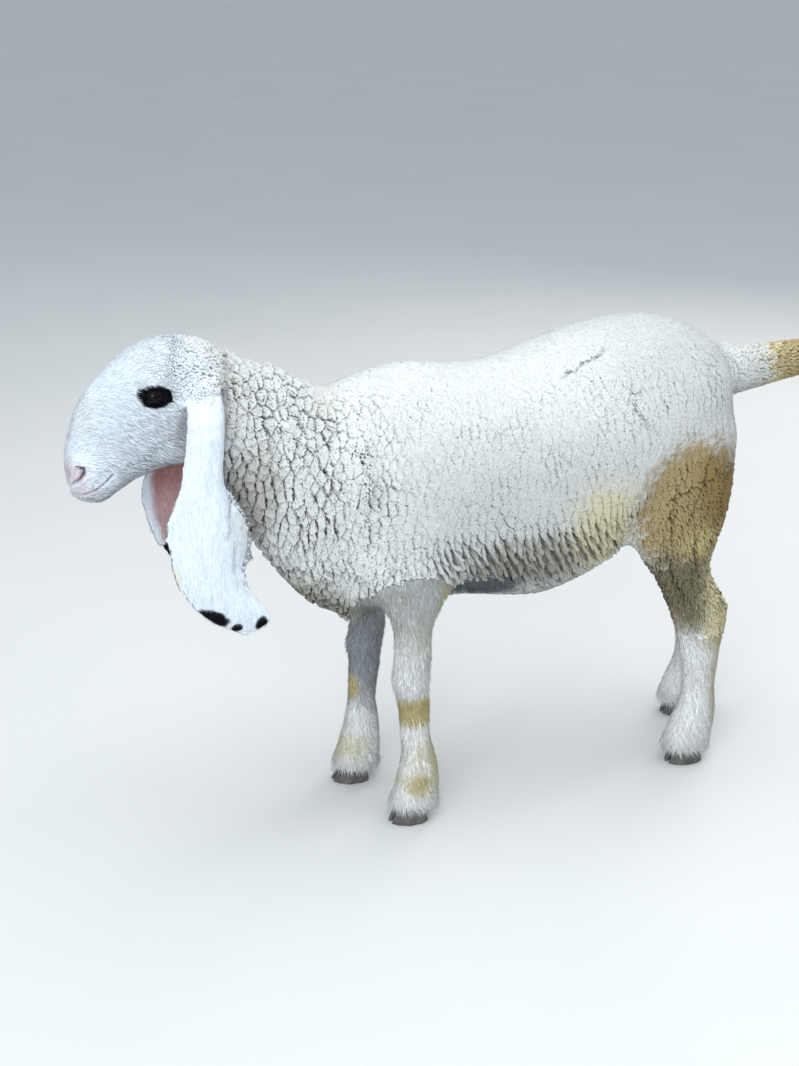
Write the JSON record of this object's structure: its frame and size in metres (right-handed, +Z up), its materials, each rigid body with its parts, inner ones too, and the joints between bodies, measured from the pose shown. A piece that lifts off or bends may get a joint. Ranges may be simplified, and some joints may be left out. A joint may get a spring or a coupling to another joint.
{
  "type": "sheep model",
  "caption": "Shorn white sheep with a Roman nose and long hanging ears, standing still on all feet with its tail held out.",
  "frame": {"origin": "on the floor, under the middle of the box round the whole sheep", "axes": "+X towards the tail, so the sheep faces -X; +Y towards its right side; +Z up"},
  "size_m": [1.3141, 0.2719, 0.7659],
  "materials": {
    "wool": "shorn wool, matte, cream white, with ochre stains on the thighs",
    "face_hair": "short smooth white hair, black round the eyes",
    "ear_hair": "short white hair outside with black lower edges, pink skin inside",
    "leg_hair": "short white hair with ochre bands",
    "eyeball": "wet and glossy, almost black",
    "hoof_horn": "dark grey horn, dull"
  },
  "bodies": {
    "root": {"claw_foreleg_left_inner": "hoof_horn", "claw_foreleg_left_outer": "hoof_horn", "claw_foreleg_right_inner": "hoof_horn", "claw_foreleg_right_outer": "hoof_horn", "claw_hindleg_left_inner": "hoof_horn", "claw_hindleg_left_outer": "hoof_horn", "claw_hindleg_right_inner": "hoof_horn", "claw_hindleg_right_outer": "hoof_horn", "ear_left": "ear_hair", "ear_right": "ear_hair", "eye_left": "eyeball", "eye_right": "eyeball", "foreleg_left_lower": "leg_hair", "foreleg_left_upper": "wool", "foreleg_right_lower": "leg_hair", "foreleg_right_upper": "wool", "head": "face_hair", "hindleg_left_lower": "leg_hair", "hindleg_left_upper": "wool", "hindleg_right_lower": "leg_hair", "hindleg_right_upper": "wool", "neck": "wool", "tail": "wool", "trunk": "wool"}
  },
  "joints": []
}
